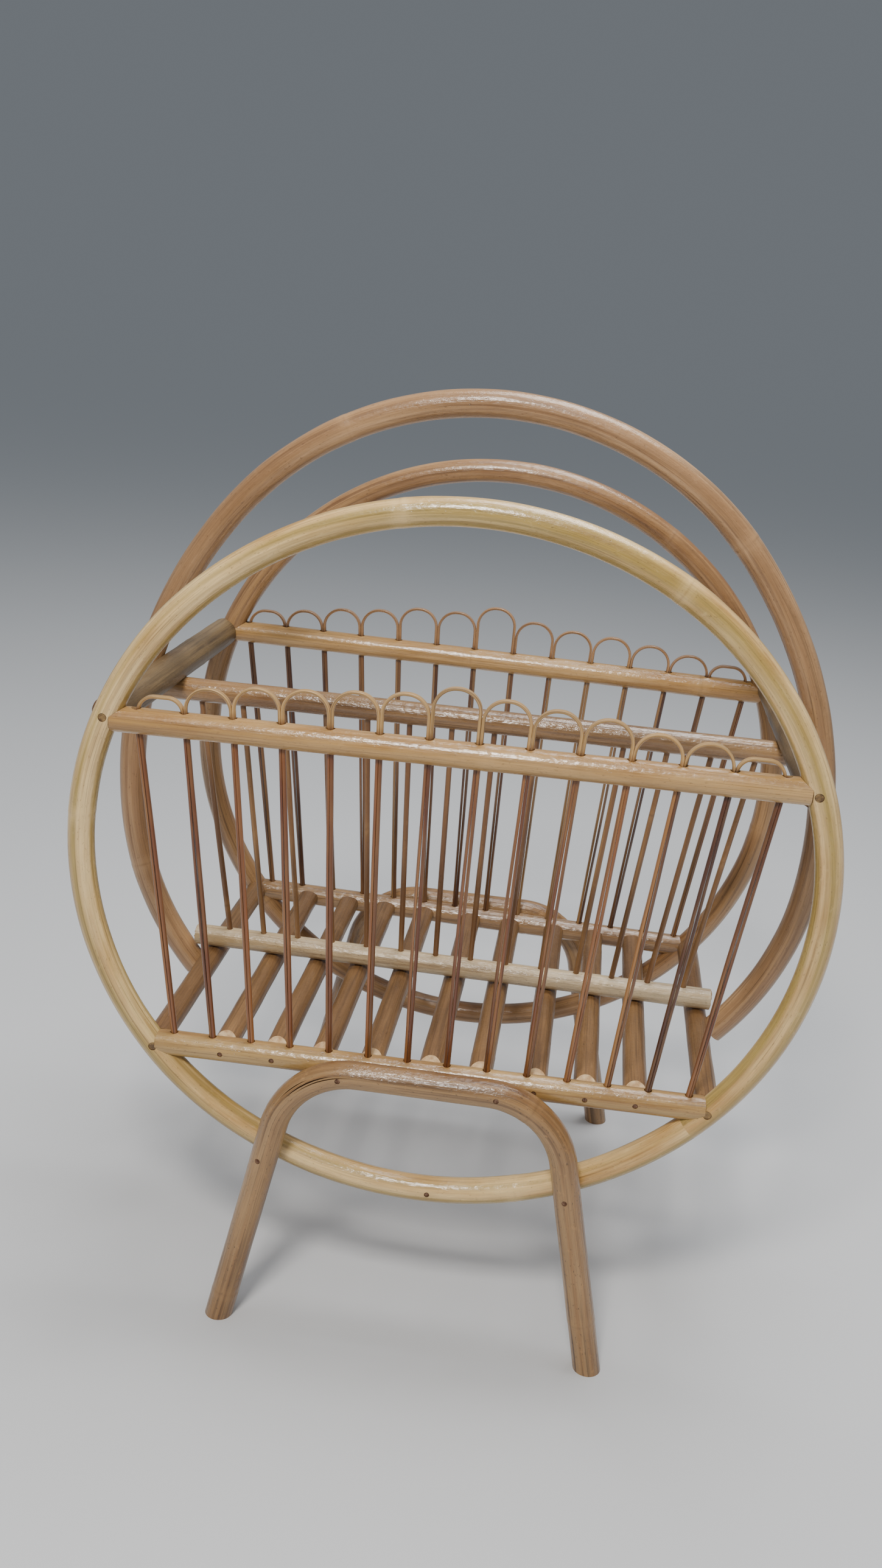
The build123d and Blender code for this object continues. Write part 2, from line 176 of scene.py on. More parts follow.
def arch_points():
    """The arch's centreline, from its left end over the crown to its right end."""
    crown = box("middle_arch")[1].z - half_size("middle_arch").y
    right = turtle((0, crown), 0, [(radius, -turn) for radius, turn in ARCH_ARCS])
    left = right[:0:-1] * (-1, 1)
    return lift(np.vstack((left, right)), (0, 0, 0), ACROSS, UP)


def leg_points(side):
    """A leg's centreline, up, over and down.  Side is -1 in front and 1 behind."""
    touch = ROW_SPACING + half_size("front_top_rail").y + LEG_RADIUS
    splay = LEG_FOOT_FORWARD - touch
    rise = math.hypot(LEG_HEIGHT, splay)
    below = 12 * MM               # under the floor, cut off later
    lean = math.radians(LEG_LEAN)
    shoulder = LEG_FOOT_OUT - LEG_HEIGHT * math.tan(lean)
    turn = 90 - LEG_LEAN
    trim = LEG_BEND * math.tan(math.radians(turn / 2))
    upright = (LEG_HEIGHT + below) / math.cos(lean) - trim
    moves = [(upright,), (LEG_BEND, -turn), (2 * (shoulder - trim),), (LEG_BEND, -turn), (upright,)]
    flat = turtle((-LEG_FOOT_OUT - below * math.tan(lean), -below), turn, moves)
    origin = (0, side * LEG_FOOT_FORWARD, 0)
    return lift(flat, origin, ACROSS, (0, -side * splay / rise, LEG_HEIGHT / rise))


def straight_points(start, end):
    start, end = np.array(start, float), np.array(end, float)
    count = max(2, round(np.linalg.norm(end - start) / RING_STEP))
    return start + np.linspace(0, 1, count + 1)[:, None] * (end - start)


def rail_height(node, x):
    return middle(node).z + RAIL_RISE[node] * x / TILT_SPAN


def rail_points(node, left, right):
    """A rail's centreline between two places along X."""
    y = middle(node).y
    return straight_points((left, y, rail_height(node, left)), (right, y, rail_height(node, right)))


def slat_points(node):
    """A slat's centreline, reaching into both bottom rails."""
    x = middle(node).x
    front, rear = (rail_height(f"{row}_bottom_rail", x) for row in ("front", "rear"))
    slope = (rear - front) / (2 * ROW_SPACING)
    centre = (front + rear) / 2
    rise = slope * CROSS_REACH
    return straight_points((x, -CROSS_REACH, centre - rise), (x, CROSS_REACH, centre + rise))


def stick_line(row, i):
    """Stick i of a row: its low and high point, on its rails' centrelines, and its direction."""
    share = 2 * i / (ROD_COUNT - 1) - 1
    low_x, high_x = LOW_HOLE_REACH * share, TOP_HOLE_REACH * share
    y = middle(f"{row}_top_rail").y
    low = np.array((low_x, y, rail_height(f"{row}_bottom_rail", low_x)))
    high = np.array((high_x, y, rail_height(f"{row}_top_rail", high_x)))
    return low, high, unit(high - low)


# ---- cane tubes
def unit(v):
    return v / np.linalg.norm(v, axis=-1, keepdims=True)


def distances(points):
    """The distance from the first point to each, along the path."""
    steps = np.linalg.norm(np.diff(points, axis=0), axis=1)
    return np.concatenate(([0], np.cumsum(steps)))


def tangents(points, closed=False):
    """The unit direction of the path at each point."""
    if closed:
        return unit(np.roll(points, -1, 0) - np.roll(points, 1, 0))
    ahead = np.vstack((points[1:], 2 * points[-1] - points[-2]))
    behind = np.vstack((2 * points[0] - points[1], points[:-1]))
    return unit(ahead - behind)


def per_corner(me, values):
    """Pairs of values, from one pair per vertex to one per face corner."""
    index = np.zeros(len(me.loops), np.int32)
    me.loops.foreach_get("vertex_index", index)
    return values.reshape(-1, 2)[index]


def write_uv(me, along, around):
    """The two UV maps, from a pair of values per face corner."""
    for label, values in (("along", along), ("round", around)):
        layer = me.uv_layers.new(name=label)
        layer.data.foreach_set("uv", values.astype(np.float32).ravel())


class Cane:
    """A cane's mesh data along a centreline, before its ends and holes are cut."""

    def __init__(self, points, sideways, radius, seed, closed=False, rings=(),
                 rough=1.0, skew=0.0, sides=SIDES):
        rng = np.random.default_rng(seed)
        distance, tangent = distances(points), tangents(points, closed)
        length = distance[-1]
        if closed:
            length += np.linalg.norm(points[0] - points[-1])
        side = np.array(sideways, float)
        side = unit(side - (tangent @ side)[:, None] * tangent)
        up = np.cross(tangent, side)
        angle = np.arange(sides) * 2 * math.pi / sides
        s, a = np.meshgrid(distance, angle, indexing="ij")
        swell = np.zeros_like(s)       # slow changes of thickness
        for _ in range(9):
            turns = rng.integers(0, 4)
            waves = max(1, round(length / rng.uniform(0.03, 0.16)))
            if not closed:
                waves += rng.uniform(-0.4, 0.4)
            phase = rng.uniform(0, 2 * math.pi)
            swell += rng.uniform(0.4, 1) * np.sin(2 * math.pi * waves * s / length + turns * a + phase)
        swell *= 0.0032 * rough
        ridges = np.zeros_like(s)      # fine lengthwise facets
        for _ in range(6):
            turns = rng.integers(5, 15)
            waves = max(1, round(length / rng.uniform(0.06, 0.3)))
            phase = rng.uniform(0, 2 * math.pi)
            ridges += np.sin(turns * a + phase + 1.5 * np.sin(2 * math.pi * waves * s / length + phase))
        ridges *= 0.0014 * rough
        # each node ring is a ridge, thicker cane before it and a dip after it
        near = np.zeros_like(s)
        ring_swell = np.zeros_like(s)
        for place in rings:
            wander = skew * np.sin(a + rng.uniform(0, 6.3))
            wander = wander + 0.35 * MM * np.sin(3 * a + rng.uniform(0, 6.3))
            d = s - place - wander
            if closed:
                d = (d + length / 2) % length - length / 2
            near = np.maximum(near, np.exp(-((d / (1.1 * MM)) ** 2)))
            ring_swell += 0.022 * np.exp(-((d / (3.4 * MM)) ** 2))
            ring_swell += 0.016 * np.exp(-(((d + 9 * MM) / (8 * MM)) ** 2))
            ring_swell -= 0.022 * np.exp(-(((d - 1.8 * MM) / (1.2 * MM)) ** 2))
        grown = radius * (1 + swell + ridges + ring_swell)
        self.s, self.a, self.near = s, a, near
        self.radius, self.grown = radius, grown
        self.points, self.side, self.up, self.tangent = points, side, up, tangent
        self.closed, self.length, self.distance = closed, length, distance
        self.offset = rng.uniform(0, 40)

    def mesh(self, name, grow=0.0, jagged=0.0, material_index=0):
        """The mesh, with caps at the ends of an open cane."""
        cos, sin = np.cos(self.a)[..., None], np.sin(self.a)[..., None]
        out = cos * self.side[:, None, :] + sin * self.up[:, None, :]
        radius = self.grown + grow
        co = self.points[:, None, :] + radius[..., None] * out
        rings, sides = self.s.shape
        y, z = radius * np.cos(self.a), radius * np.sin(self.a)
        corners = [co.reshape(-1, 3)]
        along = [np.stack((self.s + self.offset, self.near), -1).reshape(-1, 2)]
        round_ = [np.stack((y, z), -1).reshape(-1, 2)]
        rows = np.arange(rings if self.closed else rings - 1)
        j, k = np.meshgrid(rows, np.arange(sides), indexing="ij")
        j2, k2 = (j + 1) % rings, (k + 1) % sides
        quads = np.stack((j * sides + k, j * sides + k2, j2 * sides + k2, j2 * sides + k), -1)
        quads = quads.reshape(-1, 4)
        faces = [quads.tolist()]
        if self.closed:
            loops_s = np.stack((self.s[j, k], self.s[j, k2], self.s[j2, k2], self.s[j2, k]), -1)
            loops_s = loops_s.reshape(-1, 4)
            wrap = (j == rings - 1).reshape(-1)
            loops_s[wrap, 2] = self.length
            loops_s[wrap, 3] = self.length
        else:
            rng = np.random.default_rng(rings * 7 + sides)
            for end, sign in ((0, -1), (rings - 1, 1)):
                last = end * sides + np.arange(sides)
                for share in (0.95, 0.72, 0.48, 0.24):
                    reach = 0.35 * MM * (share > 0.9) + 0.45 * MM * (share < 0.9)
                    push = reach + jagged * rng.uniform(-1, 1, sides) * (share < 0.9)
                    here = self.points[end] + share * radius[end][:, None] * out[end]
                    here = here + sign * self.tangent[end] * push[:, None]
                    base = sum(len(x) for x in corners)
                    corners.append(here)
                    place = np.full(sides, self.s[end, 0] + self.offset)
                    along.append(np.stack((place, np.zeros(sides)), -1))
                    round_.append(np.stack((share * y[end], share * z[end]), -1))
                    new = base + np.arange(sides)
                    ring = np.stack((last, np.roll(last, -1), np.roll(new, -1), new), -1)
                    faces.append((ring if sign > 0 else ring[:, ::-1]).tolist())
                    last = new
                base = sum(len(x) for x in corners)
                corners.append(self.points[end][None] + sign * self.tangent[end] * 0.45 * MM)
                along.append(np.array([[self.s[end, 0] + self.offset, 0]]))
                round_.append(np.zeros((1, 2)))
                fan = np.stack((last, np.roll(last, -1), np.full(sides, base)), -1)
                faces.append((fan if sign > 0 else fan[:, ::-1]).tolist())
        co = np.vstack(corners)
        faces = [f for group in faces for f in group]
        me = bpy.data.meshes.new(name)
        me.from_pydata(co.tolist(), [], faces)
        along, round_ = per_corner(me, np.vstack(along)), per_corner(me, np.vstack(round_))
        if self.closed:
            along[: loops_s.size, 0] = loops_s.reshape(-1) + self.offset
        write_uv(me, along, round_)
        me.polygons.foreach_set("material_index", np.full(len(me.polygons), material_index, np.int32))
        if not self.closed and not material_index:
            caps = np.arange(len(me.polygons)) >= len(quads)
            me.polygons.foreach_set("material_index", caps.astype(np.int32))
        me.shade_smooth()
        return me


def distance_at(points, target):
    """Distance along some points to the one nearest a target."""
    gaps = np.linalg.norm(points - np.array(target, float), axis=1)
    return distances(points)[int(np.argmin(gaps))]


def cutter_mesh(name, co, faces):
    """A mesh whose faces all take a piece's second material, that of its core."""
    me = bpy.data.meshes.new(name)
    me.from_pydata(co.tolist(), [], faces)
    for label in ("along", "round"):
        me.uv_layers.new(name=label)
    me.polygons.foreach_set("material_index", np.ones(len(me.polygons), np.int32))
    return me


def tube_faces(rings, sides):
    """Faces of a closed tube of rings, with a flat cap at each end."""
    faces = []
    for j in range(rings - 1):
        for k in range(sides):
            k2 = (k + 1) % sides
            faces.append((j * sides + k, j * sides + k2, (j + 1) * sides + k2, (j + 1) * sides + k))
    faces.append(tuple(range(sides))[::-1])
    faces.append(tuple((rings - 1) * sides + k for k in range(sides)))
    return faces


def lathe(name, start, direction, outline, sides=20):
    """A closed turned solid: (distance, radius) pairs about a line."""
    start, direction = np.array(start, float), unit(np.array(direction, float))
    side = unit(np.cross(direction, ACROSS if abs(direction[0]) < 0.9 else DEPTH))
    up = np.cross(direction, side)
    angle = np.arange(sides) * 2 * math.pi / sides
    ring = np.cos(angle)[:, None] * side + np.sin(angle)[:, None] * up
    co = [start + d * direction + r * ring for d, r in outline]
    return cutter_mesh(name, np.vstack(co), tube_faces(len(outline), sides))


def slab(name, centre, x_dir, y_dir, z_dir, sizes):
    """A closed box, as a cutter."""
    axes = [unit(np.array(v, float)) * size / 2 for v, size in zip((x_dir, y_dir, z_dir), sizes)]
    signs = [(x, y, z) for x in (-1, 1) for y in (-1, 1) for z in (-1, 1)]
    co = [np.array(centre, float) + x * axes[0] + y * axes[1] + z * axes[2] for x, y, z in signs]
    faces = [(0, 1, 3, 2), (4, 6, 7, 5), (0, 4, 5, 1), (2, 3, 7, 6), (0, 2, 6, 4), (1, 5, 7, 3)]
    return cutter_mesh(name, np.array(co), faces)


def add_object(name, data):
    """A new object in the scene."""
    made = bpy.data.objects.new(name, data)
    bpy.context.scene.collection.objects.link(made)
    return made


def show(node, me, materials):
    """A mesh as the piece of the rack that takes a CAD node's place."""
    piece = add_object(f"{node}_cane", me)
    if not me.materials:
        for material in materials:
            me.materials.append(material)
    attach(piece, "root")
    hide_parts(node)


def cut(me, cutters, materials):
    """The mesh less the cutters' meshes.  Cut faces take the second material."""
    for material in materials:
        me.materials.append(material)
    target = add_object("being_cut", me)
    spare = []
    for cutter in cutters:
        solid = bmesh.new()
        solid.from_mesh(cutter)
        inside_out = solid.calc_volume(signed=True) < 0
        solid.free()
        if inside_out:
            cutter.flip_normals()
        for material in materials:
            cutter.materials.append(material)
        tool = add_object("cutter", cutter)
        tool.hide_render = True
        change = target.modifiers.new("cut", "BOOLEAN")
        change.operation = "DIFFERENCE"
        change.solver = "MANIFOLD"
        change.object = tool
        spare.append(tool)
    bpy.context.view_layer.update()
    dg = bpy.context.evaluated_depsgraph_get()
    made = bpy.data.meshes.new_from_object(target.evaluated_get(dg), depsgraph=dg)
    for tool in spare:
        bpy.data.objects.remove(tool)
    bpy.data.objects.remove(target)
    made.set_sharp_from_angle(angle=SHARP)
    return made


def joined(name, meshes):
    """Several meshes in one."""
    holders = [add_object("part", me) for me in meshes]
    with bpy.context.temp_override(
        active_object=holders[0], selected_objects=holders, selected_editable_objects=holders
    ):
        bpy.ops.object.join()
    made = holders[0].data
    made.name = name
    bpy.data.objects.remove(holders[0])
    return made


def groove(cane, start, end, facing, turn_start, turn_end, width, depth):
    """A crack as a cutter: a thin wedge in a cane's skin, near a facing direction.

    It runs between two distances along the cane and turns about it as it goes."""
    count = 26
    share = np.linspace(0, 1, count)
    place = np.interp(start + share * (end - start), cane.distance, np.arange(len(cane.distance)))
    rows = []
    for p, t in zip(place, share):
        j = min(int(p), len(cane.points) - 2)
        centre = cane.points[j] + (p - j) * (cane.points[j + 1] - cane.points[j])
        front = np.array(facing, float)
        front = unit(front - cane.tangent[j] * (front @ cane.tangent[j]))
        beside = np.cross(cane.tangent[j], front)
        a = math.radians(turn_start + t * (turn_end - turn_start))
        out = math.cos(a) * front + math.sin(a) * beside
        turning = cane.radius * math.radians(turn_end - turn_start) * np.cross(cane.tangent[j], out)
        across = unit(np.cross(out, unit((end - start) * cane.tangent[j] + turning)))
        open_share = math.sin(math.pi * (0.04 + 0.92 * t))
        half = across * width * open_share / 2
        low = centre + out * (cane.radius - depth * open_share)
        high = centre + out * (cane.radius + 0.8 * MM)
        rows.append((low - half * 0.3, low + half * 0.3, high + half, high - half))
    co = np.array(rows).reshape(-1, 3)
    faces = [(0, 1, 2, 3), tuple(4 * (count - 1) + k for k in (3, 2, 1, 0))]
    for j in range(count - 1):
        for k in range(4):
            k2 = (k + 1) % 4
            faces.append((4 * j + k, 4 * (j + 1) + k, 4 * (j + 1) + k2, 4 * j + k2))
    return cutter_mesh("groove", co, faces)


# ---- materials
class Shader:
    """A short way to write a node tree."""

    def __init__(self, name):
        self.material = bpy.data.materials.new(name)
        self.material.use_nodes = True
        self.tree = self.material.node_tree
        self.tree.nodes.clear()

    def node(self, kind, inputs=(), **settings):
        made = self.tree.nodes.new(kind)
        for key, value in settings.items():
            setattr(made, key, value)
        for key, value in dict(inputs).items():
            if isinstance(value, bpy.types.NodeSocket):
                self.tree.links.new(value, made.inputs[key])
            else:
                made.inputs[key].default_value = value
        return made

    def math(self, operation, a, b=0.0, clamp=False):
        made = self.node("ShaderNodeMath", {0: a, 1: b}, operation=operation)
        made.use_clamp = clamp
        return made.outputs[0]

    def remap(self, value, low, high, to_low=0.0, to_high=1.0):
        made = self.node(
            "ShaderNodeMapRange",
            {"Value": value, "From Min": low, "From Max": high, "To Min": to_low, "To Max": to_high},
        )
        return made.outputs["Result"]

    def mix(self, share, a, b, blend="MIX"):
        made = self.node("ShaderNodeMix", {0: share, 6: a, 7: b}, data_type="RGBA", blend_type=blend)
        return made.outputs[2]

    def straightened(self):
        """A point's place in the straightened pole, and the second value of "along"."""
        along, around = (
            self.node("ShaderNodeSeparateXYZ", {0: self.node("ShaderNodeUVMap", uv_map=uv).outputs[0]})
            for uv in ("along", "round")
        )
        place = self.node(
            "ShaderNodeCombineXYZ", {0: along.outputs[0], 1: around.outputs[0], 2: around.outputs[1]}
        )
        return place.outputs[0], along.outputs[1]

    def grey(self, value):
        return self.node("ShaderNodeCombineColor", {0: value, 1: value, 2: value}).outputs[0]

    def finish(self, **inputs):
        """The surface shader, by the names of its sockets, and the output."""
        sockets = {key.replace("_", " "): value for key, value in inputs.items()}
        shader = self.node("ShaderNodeBsdfPrincipled", sockets)
        self.node("ShaderNodeOutputMaterial", {0: shader.outputs[0]})
        return self.material

    def bump(self, height, distance, strength):
        made = self.node("ShaderNodeBump", {"Height": height, "Distance": distance, "Strength": strength})
        return made.outputs[0]

    def noise(self, place, scale, detail=3.0, rough=0.55):
        stretched = self.node("ShaderNodeVectorMath", {0: place, 1: scale}, operation="MULTIPLY")
        made = self.node(
            "ShaderNodeTexNoise",
            {"Vector": stretched.outputs[0], "Scale": 1.0, "Detail": detail, "Roughness": rough},
        )
        return made.outputs["Fac"]


def rgb(red, green, blue):
    """A colour given as it looks on a screen, 0 to 255, in linear light."""
    def linear(c):
        c = c / 255
        return c / 12.92 if c <= 0.04045 else ((c + 0.055) / 1.055) ** 2.4
    return (linear(red), linear(green), linear(blue), 1.0)


def darker(colour, share):
    return tuple(min(c * share, 1.0) for c in colour[:3]) + (1.0,)


def cane_skin(name, pale, deep, streak, tint, tint_share=0.6, streaks=0.6, blotch=0.6, gloss=0.36,
              coat=0.35, scuffs=0.15, flecks=0.5, relief=1.0):
    """The outer skin of cane: lengthwise bands and grain, node rings, flecks, scuffs, varnish."""
    pale, deep, streak, tint = (rgb(*colour) for colour in (pale, deep, streak, tint))
    sh = Shader(name)
    place, ring = sh.straightened()
    patch = sh.noise(place, (11, 60, 60), 4, 0.6)
    band = sh.noise(place, (2.2, 150, 150), 2, 0.5)
    broad = sh.noise(place, (7, 420, 420), 4, 0.6)
    fine = sh.noise(place, (45, 1500, 1500), 3, 0.6)
    hair = sh.noise(place, (9, 1300, 1300), 2, 0.5)
    fleck = sh.noise(place, (420, 1300, 1300), 2, 0.5)
    scuff = sh.noise(place, (150, 240, 240), 5, 0.7)
    peel = sh.noise(place, (260, 520, 520), 2, 0.5)
    colour = sh.mix(sh.remap(patch, 0.5 - 0.2 * blotch, 0.5 + 0.2 * blotch), pale, deep)
    colour = sh.mix(sh.remap(band, 0.44, 0.60, 0.0, tint_share), colour, tint)
    colour = sh.mix(sh.remap(broad, 0.50, 0.68, 0.0, streaks), colour, streak)
    light = sh.remap(fine, 0.3, 0.7, 0.84, 1.12)
    light = sh.math("MULTIPLY", light, sh.remap(hair, 0.60, 0.68, 1.0, 0.72))
    colour = sh.mix(1.0, colour, sh.grey(light), "MULTIPLY")
    spots = sh.remap(fleck, 0.66, 0.73, 0.0, flecks)
    colour = sh.mix(spots, colour, darker(streak, 0.4))
    worn = sh.remap(scuff, 0.60, 0.70, 0.0, scuffs)
    colour = sh.mix(worn, colour, darker(pale, 1.25))
    collar = sh.math("POWER", ring, 0.06)
    colour = sh.mix(sh.math("MULTIPLY", collar, 0.35), colour, pale)
    line = sh.math("MULTIPLY", sh.math("POWER", ring, 1.8), sh.remap(patch, 0.42, 0.58, 0.2, 1.0))
    colour = sh.mix(sh.math("MULTIPLY", line, 0.35), colour, darker(streak, 0.6))
    roughness = sh.remap(broad, 0.3, 0.7, gloss - 0.07, gloss + 0.09)
    roughness = sh.math("ADD", roughness, sh.math("MULTIPLY", worn, 0.5), clamp=True)
    height = sh.math("ADD", sh.math("MULTIPLY", fine, 0.5), sh.math("MULTIPLY", broad, 0.8))
    height = sh.math("ADD", height, sh.math("MULTIPLY", peel, 1.3))
    height = sh.math("SUBTRACT", height, sh.math("MULTIPLY", spots, 0.4))
    bump = sh.bump(height, 0.3 * MM * relief, 0.65)
    return sh.finish(
        Base_Color=colour, Roughness=roughness, Normal=bump, Coat_Normal=bump,
        Coat_Weight=coat, Coat_Roughness=0.13, Specular_IOR_Level=0.45,
    )


def strip_skin(name, tones, loop_tone):
    """Split cane strips: each its own tone, streaked lengthwise, paler in the loops."""
    tones, loop_tone = [rgb(*tone) for tone in tones], rgb(*loop_tone)
    sh = Shader(name)
    place, in_loop = sh.straightened()
    own = sh.noise(place, (0.45, 0.0, 0.0), 1, 0.5)
    streaks = sh.noise(place, (9, 1500, 1500), 3, 0.6)
    fine = sh.noise(place, (40, 3200, 3200), 3, 0.6)
    patch = sh.noise(place, (16, 60, 60), 3, 0.6)
    mark = sh.noise(place, (85, 0.0, 0.0), 1, 0.5)
    ramp = sh.node("ShaderNodeValToRGB", {0: own})
    stops = ramp.color_ramp.elements
    first, last = 0.39, 0.61      # most of the noise's values lie between these
    stops[0].position, stops[0].color = first, tones[0]
    stops[1].position, stops[1].color = last, tones[-1]
    for n, tone in enumerate(tones[1:-1], 1):
        stops.new(first + (last - first) * n / (len(tones) - 1)).color = tone
    colour = sh.mix(sh.remap(patch, 0.45, 0.65, 0.0, 0.35), ramp.outputs[0], tones[0])
    colour = sh.mix(sh.remap(in_loop, 0.0, 1.0, 0.0, 0.85), colour, loop_tone)
    colour = sh.mix(sh.remap(streaks, 0.50, 0.66, 0.0, 0.6), colour, darker(tones[-1], 0.6))
    light = sh.remap(fine, 0.3, 0.7, 0.8, 1.15)
    colour = sh.mix(1.0, colour, sh.grey(light), "MULTIPLY")
    colour = sh.mix(sh.remap(mark, 0.72, 0.76, 0.0, 0.6), colour, darker(tones[-1], 0.35))
    height = sh.math("ADD", streaks, sh.math("MULTIPLY", fine, 0.5))
    return sh.finish(
        Base_Color=colour, Roughness=sh.remap(streaks, 0.3, 0.7, 0.24, 0.42),
        Normal=sh.bump(height, 0.25 * MM, 0.6), Coat_Weight=0.45, Coat_Roughness=0.15,
    )


def cane_core(name, pale, deep):
    """The cut core of cane: pores end on, short fibres, dry and dull."""
    pale, deep = rgb(*pale), rgb(*deep)
    sh = Shader(name)
    place = sh.node("ShaderNodeTexCoord").outputs["Object"]
    pores = sh.node("ShaderNodeTexVoronoi", {"Vector": place, "Scale": 1500.0, "Randomness": 0.9})
    pore = sh.remap(pores.outputs["Distance"], 0.06, 0.18)
    cloud = sh.noise(place, (260, 260, 260), 4, 0.6)
    colour = sh.mix(sh.remap(cloud, 0.35, 0.65), deep, pale)
    colour = sh.mix(pore, darker(deep, 0.6), colour)
    height = sh.math("ADD", pore, sh.math("MULTIPLY", cloud, 0.8))
    return sh.finish(Base_Color=colour, Roughness=0.85, Normal=sh.bump(height, 0.3 * MM, 0.7))


def old_steel(name):
    """Small nail and screw heads, dull and browned."""
    sh = Shader(name)
    place = sh.node("ShaderNodeTexCoord").outputs["Object"]
    cloud = sh.noise(place, (900, 900, 900), 4, 0.65)
    colour = sh.mix(sh.remap(cloud, 0.4, 0.62), rgb(132, 100, 78), rgb(92, 58, 38))
    roughness = sh.remap(cloud, 0.35, 0.65, 0.35, 0.75)
    bump = sh.bump(cloud, 0.2 * MM, 0.5)
    return sh.finish(Base_Color=colour, Metallic=0.35, Roughness=roughness, Normal=bump)


def plug_filler(name):
    """Wood plugs over the screws, olive brown, stained darker here and there."""
    sh = Shader(name)
    place = sh.node("ShaderNodeTexCoord").outputs["Object"]
    cloud = sh.noise(place, (420, 420, 420), 4, 0.6)
    grain = sh.noise(place, (300, 900, 1800), 3, 0.6)
    colour = sh.mix(sh.remap(cloud, 0.4, 0.62), rgb(150, 118, 70), rgb(98, 72, 42))
    colour = sh.mix(sh.remap(grain, 0.5, 0.7, 0.0, 0.6), colour, rgb(70, 48, 26))
    bump = sh.bump(grain, 0.2 * MM, 0.6)
    return sh.finish(Base_Color=colour, Roughness=0.55, Normal=bump, Coat_Weight=0.15)


pale_hoop = cane_skin(
    "pale_hoop_cane", (238, 204, 144), (198, 154, 90), (138, 98, 46), (162, 136, 66),
    tint_share=0.8, streaks=0.45, gloss=0.3, coat=0.6, flecks=0.45,
)
tan_hoop = cane_skin(
    "tan_hoop_cane", (174, 134, 90), (134, 94, 56), (82, 52, 28), (172, 132, 86),
    gloss=0.34, coat=0.45,
)
arch_skin = cane_skin(
    "arch_cane", (194, 154, 110), (152, 114, 74), (92, 60, 34), (146, 108, 72),
    tint_share=0.65, blotch=0.9, gloss=0.34, coat=0.4, flecks=0.45,
)
top_rail_skin = cane_skin(
    "top_rail_cane", (204, 164, 108), (172, 128, 74), (116, 78, 40), (184, 142, 82),
    streaks=0.5, gloss=0.3, coat=0.6, flecks=0.4,
)
brown_rail_skin = cane_skin(
    "brown_rail_cane", (162, 124, 80), (126, 88, 50), (80, 52, 28), (172, 138, 98),
    tint_share=0.5, gloss=0.26, coat=0.8, relief=1.4,
)
low_rail_skin = cane_skin(
    "low_rail_cane", (186, 148, 92), (154, 114, 62), (100, 66, 32), (182, 150, 94),
    tint_share=0.5, streaks=0.5, gloss=0.3, coat=0.65,
)
peeled_skin = cane_skin(
    "peeled_cane", (208, 182, 140), (172, 142, 98), (120, 88, 54), (204, 186, 154),
    blotch=0.8, gloss=0.4, coat=0.45,
    scuffs=0.45, relief=1.8,
)
bar_skin = cane_skin(
    "bar_cane", (120, 98, 66), (92, 72, 46), (60, 42, 26), (100, 82, 54),
    streaks=0.5, gloss=0.5, coat=0.1, flecks=0.4, scuffs=0.25,
)
slat_skin = cane_skin(
    "slat_cane", (142, 106, 66), (106, 74, 42), (66, 42, 22), (128, 94, 60),
    streaks=0.55, blotch=0.9, gloss=0.46, coat=0.2, flecks=0.55,
    scuffs=0.3, relief=1.3,
)
leg_skin = cane_skin(
    "leg_cane", (166, 126, 80), (122, 84, 46), (70, 44, 22), (172, 138, 94),
    streaks=0.65, blotch=0.9, gloss=0.34, coat=0.5, flecks=0.75,
    scuffs=0.6, relief=1.6,
)
strips = strip_skin(
    "strip_cane",
    ((176, 130, 74), (146, 88, 46), (106, 56, 30), (156, 102, 58), (80, 44, 26)),
    (206, 166, 106),
)
rear_strips = strip_skin(
    "rear_strip_cane",
    ((160, 122, 78), (126, 82, 48), (94, 58, 34), (154, 116, 78), (80, 48, 32)),
    (184, 140, 96),
)
rod_skin = cane_skin(
    "rod_cane", (168, 128, 82), (126, 88, 52), (82, 52, 28), (116, 76, 46),
    tint_share=0.7, blotch=0.9, flecks=0.4,
)
pale_core = cane_core("pale_core", (216, 188, 146), (176, 138, 96))
dark_core = cane_core("dark_core", (120, 86, 54), (76, 50, 30))
steel = old_steel("fastener_steel")
plug_wood = plug_filler("plug_wood")

# ---- the poles
hoop_tubes = {}
for row, shape, rings, seed in (
    ("front", FRONT_HOOP, ((-36, 481), (105, 450), (-196, 300), (60, 95)), 11),
    ("rear", REAR_HOOP, ((13, 482), (109, 451), (-150, 160), (198, 260)), 23),
):
    node = f"{row}_hoop"
    points = hoop_points(node, shape)
    y = middle(node).y
    marks = [distance_at(points, (x * MM, y, z * MM)) for x, z in rings]
    hoop_tubes[row] = Cane(
        points, DEPTH, half_size(node).y - 0.1 * MM, seed, closed=True, rings=marks, skew=0.6 * MM
    )

arch_line = arch_points()
arch_marks = [distance_at(arch_line, (x * MM, 0, z * MM)) for x, z in ((-196, 230), (150, 470), (-90, 515))]
arch_tube = Cane(arch_line, DEPTH, half_size("middle_arch").y - 0.35 * MM, 31, rings=arch_marks)

rail_tubes = {}
for node, left, right, marks, seed in (
    ("front_top_rail", -TOP_REACH, TOP_REACH, (19,), 41),
    ("front_bottom_rail", -LOW_REACH, LOW_REACH, (-60,), 42),
    ("rear_top_rail", -TOP_REACH, TOP_REACH, (-15, 142), 43),
    ("rear_bottom_rail", -LOW_REACH, LOW_REACH, (40,), 44),
    ("middle_top_rail", -MIDDLE_TOP_REACH, MIDDLE_TOP_REACH, (-120,), 45),
    ("middle_bottom_rail", *MIDDLE_LOW_ENDS, (95,), 46),
):
    places = [x * MM - left for x in marks]
    radius = half_size(node).y - 0.05 * MM
    rail_tubes[node] = Cane(rail_points(node, left, right), DEPTH, radius, seed, rings=places)

